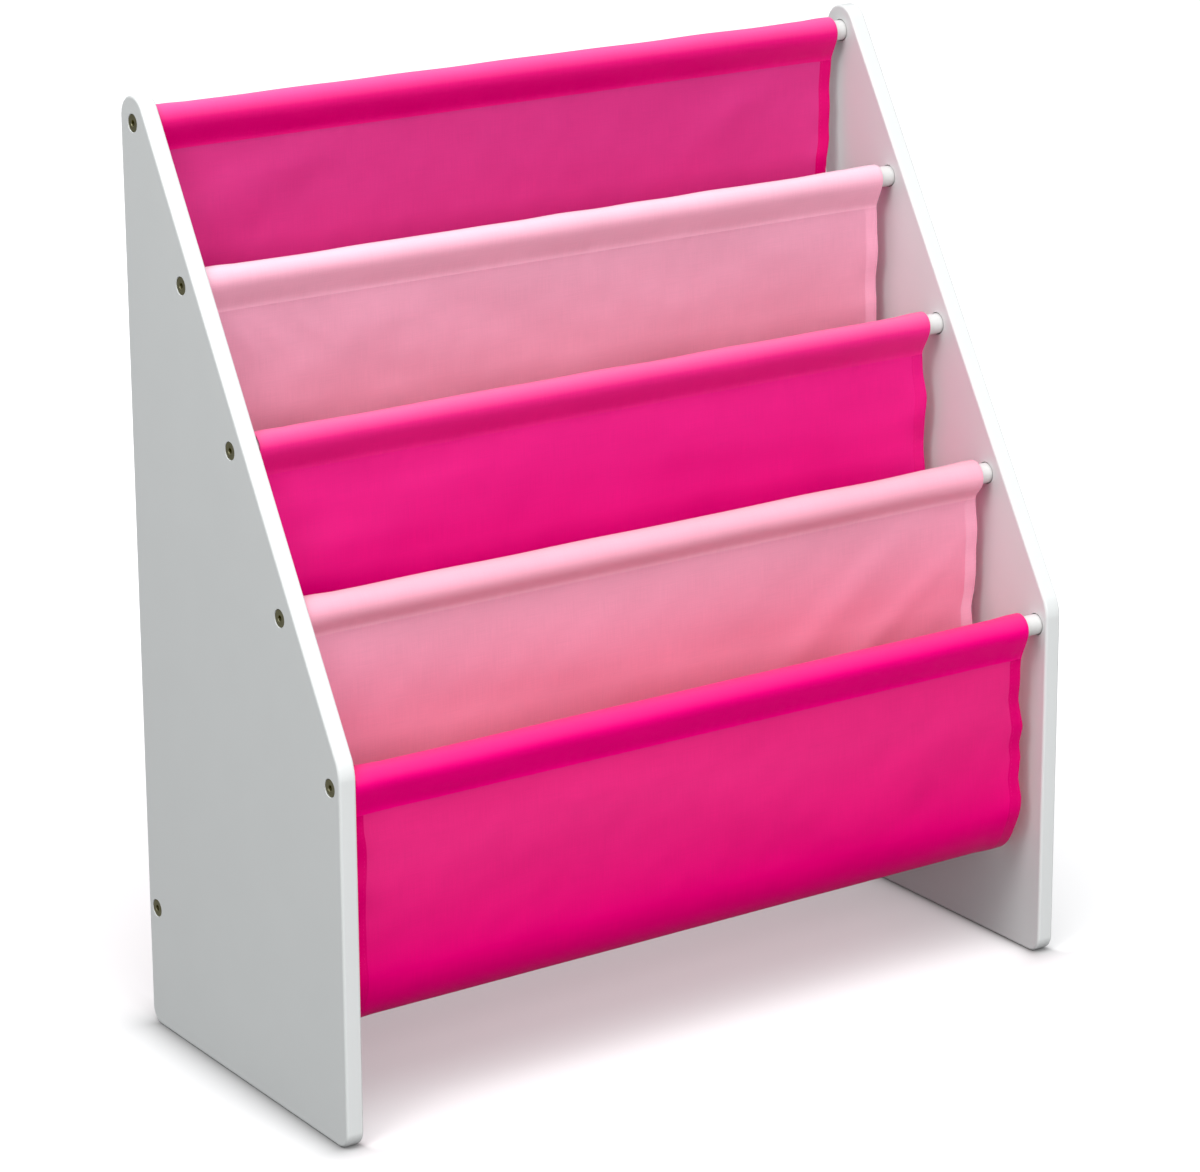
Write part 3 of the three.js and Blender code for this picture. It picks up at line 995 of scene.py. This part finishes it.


# Each right edge runs through (height over the dowel's axis, x) and each fold is as soft_folds takes it, in
# mm. Each band's colours are its pink dye with painted light and shade. The dark cloth is paler where it
# hangs single, most of all in the top band, which has no pocket behind it and lets more of the bright room
# through, and this paleness is painted light. The low colour is painted shade towards the pocket below, the
# crown colour is painted light for the tunnel's lit top, and the doubled colour is partly painted light.
bands = [
    Band(
        1, 9.9 * mm, 19.3 * mm, -287 * mm, seed=11,
        right_edge=[(12, 280), (-18, 281), (-60, 280), (-80, 279.6), (-94, 276.4), (-240, 277)],
        folds=[(-203, 606, 25, 70, 20, 2.2), (40, 604, -62, 40, 9, 1.0), (200, 612, 35, 60, 18, 1.6)],
        dye_and_painted_light={"doubled": (0.87, 0.008, 0.21), "crown": (0.87, 0.11, 0.35), "hem": (0.73, 0.0003, 0.16),
             "single": (0.83, 0.056, 0.32), "low": (0.83, 0.056, 0.32), "painted_shade_between": (35 * mm, 115 * mm),
             "through": 0.3}),
    Band(
        2, 9.0 * mm, 20.1 * mm, -287 * mm, seed=23,
        right_edge=[(12, 278.6), (-23, 278.7), (-58, 279.6), (-90, 280), (-240, 279)],
        folds=[(-262, 516, -52, 22, 5, 0.9), (-236, 512, -50, 26, 6, 0.8), (-206, 514, -48, 24, 6, 0.7),
               (-200, 480, 35, 120, 24, 1.3), (-80, 475, -24, 90, 20, 1.1), (120, 480, 18, 120, 30, 1.2)],
        dye_and_painted_light={"doubled": (0.98, 0.465, 0.61), "crown": (0.86, 0.60, 0.69), "hem": (0.905, 0.40, 0.545),
             "single": (0.91, 0.41, 0.56), "low": (0.90, 0.36, 0.50), "painted_shade_between": (35 * mm, 115 * mm),
             "through": 0.18}),
    Band(
        3, 9.6 * mm, 19.2 * mm, -287 * mm, seed=37,
        right_edge=[(12, 277.4), (-18, 276.2), (-36, 277.4), (-53, 280), (-68, 278.8), (-84, 280.5),
                    (-240, 280)],
        folds=[(-160, 390, 20, 140, 26, 1.3), (100, 400, -14, 130, 26, 1.2)],
        dye_and_painted_light={"doubled": (0.92, 0.022, 0.25), "crown": (0.87, 0.145, 0.33), "hem": (0.80, 0.010, 0.22),
             "single": (0.95, 0.020, 0.285), "low": (0.91, 0.0165, 0.275), "painted_shade_between": (35 * mm, 115 * mm),
             "through": 0.18}),
    Band(
        4, 10.5 * mm, 15.2 * mm, -287 * mm, seed=41,
        right_edge=[(12, 279), (-17, 280.3), (-51, 281.6), (-88, 281.2), (-101, 278.3), (-240, 279)],
        folds=[(150, 270, 38, 80, 13, 1.6), (200, 255, 36, 70, 10, 1.3), (-120, 290, -16, 130, 26, 1.2)],
        dye_and_painted_light={"doubled": (1.0, 0.45, 0.585), "crown": (0.79, 0.415, 0.50), "hem": (0.905, 0.385, 0.525),
             "single": (0.98, 0.44, 0.60), "low": (0.94, 0.30, 0.45), "painted_shade_between": (20 * mm, 100 * mm),
             "through": 0.18}),
    Band(
        5, 10.3 * mm, 21.6 * mm, -289.2 * mm, seed=53,
        right_edge=[(12, 275.2), (-21, 276.8), (-53, 276.1), (-76, 280), (-89, 278), (-99, 279.7),
                    (-114, 277.1), (-129, 278.9), (-154, 276.6), (-240, 277)],
        folds=[(-150, 190, 14, 160, 30, 1.4), (60, 160, -20, 120, 26, 1.3), (200, 175, 30, 90, 20, 1.2)],
        dye_and_painted_light={"doubled": (0.99, 0.0003, 0.23), "crown": (0.83, 0.033, 0.205), "hem": (0.76, 0.0003, 0.16),
             "single": (0.92, 0.030, 0.255), "low": (0.92, 0.0005, 0.215), "painted_shade_between": (75 * mm, 160 * mm),
             "through": 0.18}),
]
dark_thread = thread_finish("dark_pink_thread", (0.80, 0.002, 0.20))
light_thread = thread_finish("light_pink_thread", (0.88, 0.45, 0.58))
stitch_inset = 2 * mm
stitch_ends = 4 * mm

for band in bands:
    band.lay()
    if band.number % 2 == 1:
        shade_name, slot, thread = "dark", "dark_pink_cloth", dark_thread
    else:
        shade_name, slot, thread = "light", "light_pink_cloth", light_thread
    weave = weave_finish(f"{shade_name}_pink_weave_{band.number}", band)
    cloth = band.sheet(f"sling_{band.number}", weave)
    half = band.width / 2
    seam_end = half - stitch_inset
    hem_line = half - hem + stitch_inset
    rear_v, front_v = band.v[0], band.v[-1]
    lines = [((-seam_end, v), (seam_end, v), 1) for v in (band.seam, -band.seam)]
    for u in (-hem_line, hem_line):
        lines.append(((u, rear_v + stitch_ends), (u, front_v - stitch_ends), 1))
    if band.number > 1:
        lap_v, lap_face = (front_v - lap / 2, 1) if band.number == 5 else (rear_v + lap / 2, -1)
        lines.append(((-half + hem, lap_v), (half - hem, lap_v), lap_face))
    stitching = sew(f"sling_{band.number}_stitching", band, lines, thread)
    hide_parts(f"sling_band_{band.number}")
    for piece in (cloth, stitching):
        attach(piece, "root")
